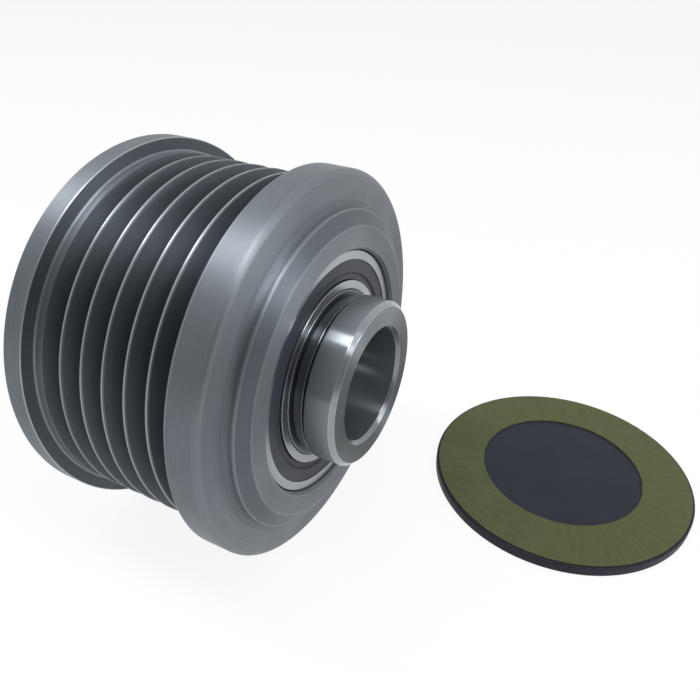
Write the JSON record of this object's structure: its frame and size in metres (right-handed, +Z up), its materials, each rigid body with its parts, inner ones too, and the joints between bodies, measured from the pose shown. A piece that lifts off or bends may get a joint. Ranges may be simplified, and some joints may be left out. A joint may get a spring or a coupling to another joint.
{
  "type": "alternator pulley",
  "caption": "Overrunning alternator pulley: multi-groove belt rim on ball bearings and a roller clutch round a threaded hub, with its dust cap laid beside it.",
  "frame": {"origin": "on the shaft axis, in the mid-plane of the belt grooves, inside the hub's threaded bore", "axes": "Y along the shaft axis with the nose that goes against the alternator towards -Y; +Z up from the surface that the pulley's flanges and the loose cap lie on"},
  "size_m": [0.081, 0.0892, 0.058],
  "materials": {
    "pulley_steel": "fine-turned steel with a dark grey coating",
    "hub_steel": "hardened and ground, dark and glossy",
    "race_steel": "ground bearing steel",
    "bearing_steel": "light ground steel",
    "ball_steel": "polished",
    "cage_plastic": "glass-filled plastic",
    "spring_steel": "bright strip",
    "seal_rubber": "smooth dark rubber",
    "cap_plastic": "black moulded plastic",
    "gasket_olive": "matte olive sheet with faint streaks"
  },
  "bodies": {
    "pulley": {"pulley_ring": "pulley_steel", "clutch_outer_race": "race_steel", "nose_bearing_outer_ring": "bearing_steel", "nose_bearing_nose_side_seal": "seal_rubber", "nose_bearing_cap_side_seal": "seal_rubber", "cap_bearing_outer_ring": "bearing_steel", "cap_bearing_nose_side_seal": "seal_rubber", "cap_bearing_cap_side_seal": "seal_rubber", "dust_cap": "cap_plastic", "dust_cap_gasket": "gasket_olive"},
    "shaft_hub": {"hub": "hub_steel", "clutch_inner_race": "race_steel", "clutch_rollers": "ball_steel", "clutch_cage": "cage_plastic", "clutch_springs": "spring_steel", "nose_bearing_inner_ring": "bearing_steel", "cap_bearing_inner_ring": "bearing_steel"},
    "nose_ball_set": {"nose_bearing_balls": "ball_steel", "nose_bearing_cage": "cage_plastic"},
    "cap_ball_set": {"cap_bearing_balls": "ball_steel", "cap_bearing_cage": "cage_plastic"}
  },
  "joints": [
    {"name": "hub_spin", "type": "hinge", "parent": "pulley", "child": "shaft_hub", "pos_m": [0, 0, 0], "axis": [0, -1, 0], "continuous": true},
    {"name": "nose_ball_set_spin", "type": "hinge", "parent": "pulley", "child": "nose_ball_set", "pos_m": [0, -0.0145, 0], "axis": [0, -1, 0], "continuous": true},
    {"name": "cap_ball_set_spin", "type": "hinge", "parent": "pulley", "child": "cap_ball_set", "pos_m": [0, 0.0085, 0], "axis": [0, -1, 0], "continuous": true}
  ],
  "couplings": [
    {"joint": "nose_ball_set_spin", "follows": "hub_spin", "ratio": 0.44355},
    {"joint": "cap_ball_set_spin", "follows": "hub_spin", "ratio": 0.44355}
  ]
}
